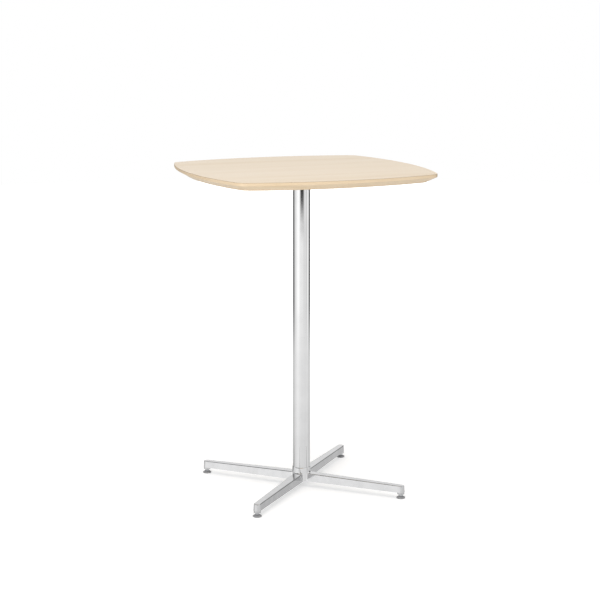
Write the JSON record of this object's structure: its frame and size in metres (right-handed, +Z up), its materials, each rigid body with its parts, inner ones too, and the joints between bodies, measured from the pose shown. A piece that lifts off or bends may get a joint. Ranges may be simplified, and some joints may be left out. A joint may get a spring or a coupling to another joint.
{
  "type": "bar table",
  "caption": "Bar-height table: soft-square wooden top with an undercut edge on a slim chromed column, star-shaped polished cast base with screw-levelling glides.",
  "frame": {"origin": "on the floor, under the middle of the column", "axes": "+Z up along the column, X and Y along the sides of the top, legs on the diagonals"},
  "size_m": [0.7618, 0.7618, 1.067],
  "materials": {
    "maple_face": "clear satin lacquer on maple veneer",
    "maple_edge": "clear satin lacquer on solid maple",
    "panel_core": "raw particle board",
    "backing": "sealed balancing veneer",
    "chrome": "bright chrome plate",
    "polished_casting": "polished casting",
    "cast_mount": "dark powder coat on a casting",
    "zinc_steel": "zinc plate",
    "brass": "turned",
    "glide_plastic": "moulded, fine texture"
  },
  "bodies": {
    "table": {"face_veneer": "maple_face", "top_core": "panel_core", "backing_veneer": "backing", "lipping_front": "maple_edge", "lipping_right": "maple_edge", "lipping_back": "maple_edge", "lipping_left": "maple_edge", "threaded_inserts": "brass", "top_screws": "zinc_steel", "top_spider": "cast_mount", "column_tube": "chrome", "tie_rod": "zinc_steel", "tie_rod_washer": "zinc_steel", "tie_rod_lock_washer": "zinc_steel", "tie_rod_nut": "zinc_steel", "base_casting": "polished_casting"},
    "foot_front_left": {"glide_foot_front_left": "glide_plastic"},
    "stud_front_left": {"glide_stud_front_left": "zinc_steel"},
    "foot_front_right": {"glide_foot_front_right": "glide_plastic"},
    "stud_front_right": {"glide_stud_front_right": "zinc_steel"},
    "foot_back_right": {"glide_foot_back_right": "glide_plastic"},
    "stud_back_right": {"glide_stud_back_right": "zinc_steel"},
    "foot_back_left": {"glide_foot_back_left": "glide_plastic"},
    "stud_back_left": {"glide_stud_back_left": "zinc_steel"}
  },
  "joints": [
    {"name": "glide_height_front_left", "type": "slide", "parent": "table", "child": "foot_front_left", "axis": [0, 0, 1], "range_m": [-0.01, 0.00125]},
    {"name": "glide_screw_front_left", "type": "hinge", "parent": "foot_front_left", "child": "stud_front_left", "pos_m": [-0.24996, -0.24996, 0], "axis": [0, 0, 1], "range_deg": [-2880, 360]},
    {"name": "glide_height_front_right", "type": "slide", "parent": "table", "child": "foot_front_right", "axis": [0, 0, 1], "range_m": [-0.01, 0.00125]},
    {"name": "glide_screw_front_right", "type": "hinge", "parent": "foot_front_right", "child": "stud_front_right", "pos_m": [0.24996, -0.24996, 0], "axis": [0, 0, 1], "range_deg": [-2880, 360]},
    {"name": "glide_height_back_right", "type": "slide", "parent": "table", "child": "foot_back_right", "axis": [0, 0, 1], "range_m": [-0.01, 0.00125]},
    {"name": "glide_screw_back_right", "type": "hinge", "parent": "foot_back_right", "child": "stud_back_right", "pos_m": [0.24996, 0.24996, 0], "axis": [0, 0, 1], "range_deg": [-2880, 360]},
    {"name": "glide_height_back_left", "type": "slide", "parent": "table", "child": "foot_back_left", "axis": [0, 0, 1], "range_m": [-0.01, 0.00125]},
    {"name": "glide_screw_back_left", "type": "hinge", "parent": "foot_back_left", "child": "stud_back_left", "pos_m": [-0.24996, 0.24996, 0], "axis": [0, 0, 1], "range_deg": [-2880, 360]}
  ],
  "couplings": [
    {"joint": "glide_screw_front_left", "follows": "glide_height_front_left", "rad_per_m": 5026.5},
    {"joint": "glide_screw_front_right", "follows": "glide_height_front_right", "rad_per_m": 5026.5},
    {"joint": "glide_screw_back_right", "follows": "glide_height_back_right", "rad_per_m": 5026.5},
    {"joint": "glide_screw_back_left", "follows": "glide_height_back_left", "rad_per_m": 5026.5}
  ]
}
